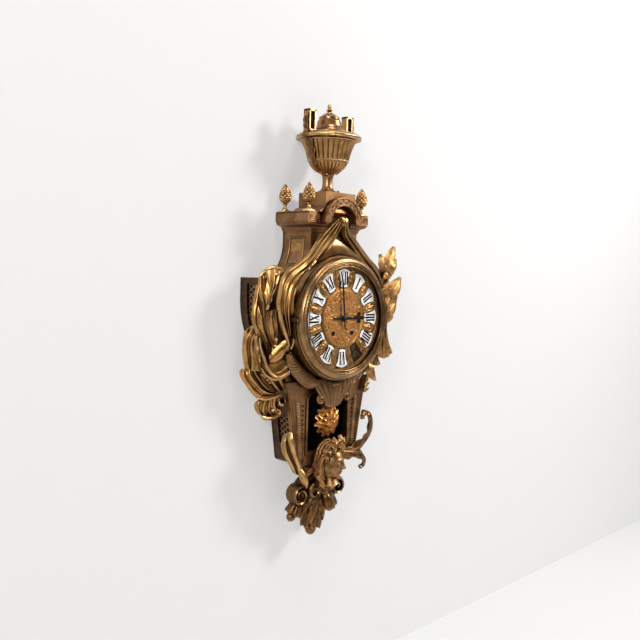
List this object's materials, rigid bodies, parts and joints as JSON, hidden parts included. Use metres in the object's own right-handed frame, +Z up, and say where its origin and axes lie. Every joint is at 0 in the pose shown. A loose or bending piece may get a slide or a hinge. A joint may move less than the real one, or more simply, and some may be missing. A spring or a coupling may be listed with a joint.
{
  "type": "cartel clock",
  "caption": "Gilt bronze cartel wall clock with urn, drapery and leaf ornament, hinged glazed bezel, enamel hour plaques, striking movement and flower pendulum in a lower window.",
  "frame": {"origin": "centre of the hanging eye on the back face, which lies on the wall", "axes": "+X to the viewer's right, +Y into the wall, +Z up; the dial faces -Y"},
  "size_m": [0.3927, 0.1236, 0.86],
  "materials": {
    "gilt_bronze": "gilded, polished highlights over brown hollows",
    "old_gilt_bronze": "gilded, dulled with age",
    "copper_gilt_bronze": "gilded, worn to a coppery tone",
    "dark_case_metal": "dark brown patina",
    "movement_brass": "lacquered",
    "steel": "polished",
    "black_steel": "blackened",
    "enamel": "white enamel with black numerals",
    "clear_glass": "clear"
  },
  "bodies": {
    "case": {"back_plate": "dark_case_metal", "case_shell": "dark_case_metal", "side_grilles": "old_gilt_bronze", "neck": "old_gilt_bronze", "cornice": "old_gilt_bronze", "urn_plinth": "copper_gilt_bronze", "pinecone_finials": "gilt_bronze", "urn_foot": "copper_gilt_bronze", "urn_bowl": "copper_gilt_bronze", "urn_handles": "gilt_bronze", "urn_lid": "copper_gilt_bronze", "urn_tie_rod": "gilt_bronze", "drapery_boss": "gilt_bronze", "drapery_swag": "gilt_bronze", "drapery_fall": "gilt_bronze", "oak_branch": "gilt_bronze", "dial_surround": "old_gilt_bronze", "pilaster_front": "old_gilt_bronze", "shell_apron": "gilt_bronze", "mask": "gilt_bronze", "scroll_left": "gilt_bronze", "scroll_right": "gilt_bronze", "pendant": "gilt_bronze", "case_screws": "movement_brass", "hinge_bracket": "old_gilt_bronze", "hinge_pin": "steel", "bezel_catch": "steel", "dial_plate": "old_gilt_bronze", "dial_centre": "gilt_bronze", "hour_plaques": "enamel", "front_movement_plate": "movement_brass", "back_movement_plate": "movement_brass", "movement_pillars": "movement_brass", "movement_straps": "movement_brass", "suspension_cock": "movement_brass", "bell": "movement_brass"},
    "bezel": {"bezel_ring": "gilt_bronze", "bezel_glass": "clear_glass", "glass_retaining_ring": "movement_brass"},
    "minute_arbor": {"centre_wheel": "movement_brass", "minute_hand": "black_steel", "hand_nut": "movement_brass"},
    "hour_pipe": {"hour_wheel": "movement_brass", "hour_hand": "black_steel"},
    "minute_wheel_arbor": {"minute_wheel": "movement_brass"},
    "intermediate_arbor": {"intermediate_wheel": "movement_brass"},
    "going_barrel_body": {"going_barrel": "movement_brass"},
    "going_arbor": {"going_winding_arbor": "steel"},
    "third_arbor": {"third_wheel": "movement_brass"},
    "escape_arbor": {"escape_wheel": "movement_brass"},
    "pendulum": {"pendulum_rod": "movement_brass", "suspension_spring": "steel", "pendulum_bob": "gilt_bronze", "rating_nut": "movement_brass"},
    "anchor_body": {"anchor": "steel"},
    "strike_barrel_body": {"strike_barrel": "movement_brass"},
    "strike_arbor": {"strike_winding_arbor": "steel"},
    "pin_wheel_arbor": {"strike_pin_wheel": "movement_brass"},
    "fly_arbor": {"strike_fly": "movement_brass"},
    "hammer_body": {"hammer": "steel"}
  },
  "joints": [
    {"name": "bezel_hinge", "type": "hinge", "parent": "case", "child": "bezel", "pos_m": [0.125, -0.1104, -0.15], "axis": [0, 0, 1], "range_deg": [0, 100]},
    {"name": "minute_hand_turn", "type": "hinge", "parent": "case", "child": "minute_arbor", "pos_m": [0, -0.085, -0.15], "axis": [0, 1, 0], "continuous": true},
    {"name": "hour_hand_turn", "type": "hinge", "parent": "case", "child": "hour_pipe", "pos_m": [0, -0.085, -0.15], "axis": [0, 1, 0], "continuous": true},
    {"name": "minute_wheel_turn", "type": "hinge", "parent": "case", "child": "minute_wheel_arbor", "pos_m": [0, -0.1, -0.162], "axis": [0, 1, 0], "continuous": true},
    {"name": "intermediate_turn", "type": "hinge", "parent": "case", "child": "intermediate_arbor", "pos_m": [0.01789, -0.085, -0.15199], "axis": [0, 1, 0], "continuous": true},
    {"name": "going_barrel_turn", "type": "hinge", "parent": "case", "child": "going_barrel_body", "pos_m": [0.026, -0.085, -0.179], "axis": [0, 1, 0], "continuous": true},
    {"name": "going_winding", "type": "hinge", "parent": "case", "child": "going_arbor", "pos_m": [0.026, -0.085, -0.179], "axis": [0, 1, 0], "continuous": true},
    {"name": "third_turn", "type": "hinge", "parent": "case", "child": "third_arbor", "pos_m": [-0.01035, -0.085, -0.13707], "axis": [0, 1, 0], "continuous": true},
    {"name": "escape_turn", "type": "hinge", "parent": "case", "child": "escape_arbor", "pos_m": [0, -0.085, -0.128], "axis": [0, 1, 0], "continuous": true},
    {"name": "pendulum_swing", "type": "hinge", "parent": "case", "child": "pendulum", "pos_m": [0, -0.059, -0.114], "axis": [0, 1, 0], "range_deg": [-3.5, 3.5]},
    {"name": "anchor_swing", "type": "hinge", "parent": "case", "child": "anchor_body", "pos_m": [0, -0.07, -0.114], "axis": [0, 1, 0], "range_deg": [-3.5, 3.5]},
    {"name": "strike_barrel_turn", "type": "hinge", "parent": "case", "child": "strike_barrel_body", "pos_m": [-0.026, -0.085, -0.179], "axis": [0, 1, 0], "continuous": true},
    {"name": "pin_wheel_turn", "type": "hinge", "parent": "case", "child": "pin_wheel_arbor", "pos_m": [-0.0333, -0.085, -0.15176], "axis": [0, 1, 0], "continuous": true},
    {"name": "fly_turn", "type": "hinge", "parent": "case", "child": "fly_arbor", "pos_m": [-0.03945, -0.085, -0.13485], "axis": [0, 1, 0], "continuous": true},
    {"name": "strike_winding", "type": "hinge", "parent": "case", "child": "strike_arbor", "pos_m": [-0.026, -0.085, -0.179], "axis": [0, 1, 0], "continuous": true},
    {"name": "hammer_lift", "type": "hinge", "parent": "case", "child": "hammer_body", "pos_m": [-0.059, -0.085, -0.138], "axis": [0, 1, 0], "range_deg": [0, 12]}
  ],
  "couplings": [
    {"joint": "hour_hand_turn", "follows": "minute_hand_turn", "ratio": 0.083333},
    {"joint": "minute_wheel_turn", "follows": "minute_hand_turn", "ratio": -0.33333},
    {"joint": "intermediate_turn", "follows": "minute_hand_turn", "ratio": -0.2},
    {"joint": "going_barrel_turn", "follows": "minute_hand_turn", "ratio": 0.035},
    {"joint": "third_turn", "follows": "minute_hand_turn", "ratio": -10.5},
    {"joint": "escape_turn", "follows": "minute_hand_turn", "ratio": 102.38},
    {"joint": "anchor_swing", "follows": "pendulum_swing", "ratio": 1},
    {"joint": "pin_wheel_turn", "follows": "strike_barrel_turn", "ratio": -5.7143},
    {"joint": "fly_turn", "follows": "strike_barrel_turn", "ratio": 28.571}
  ]
}
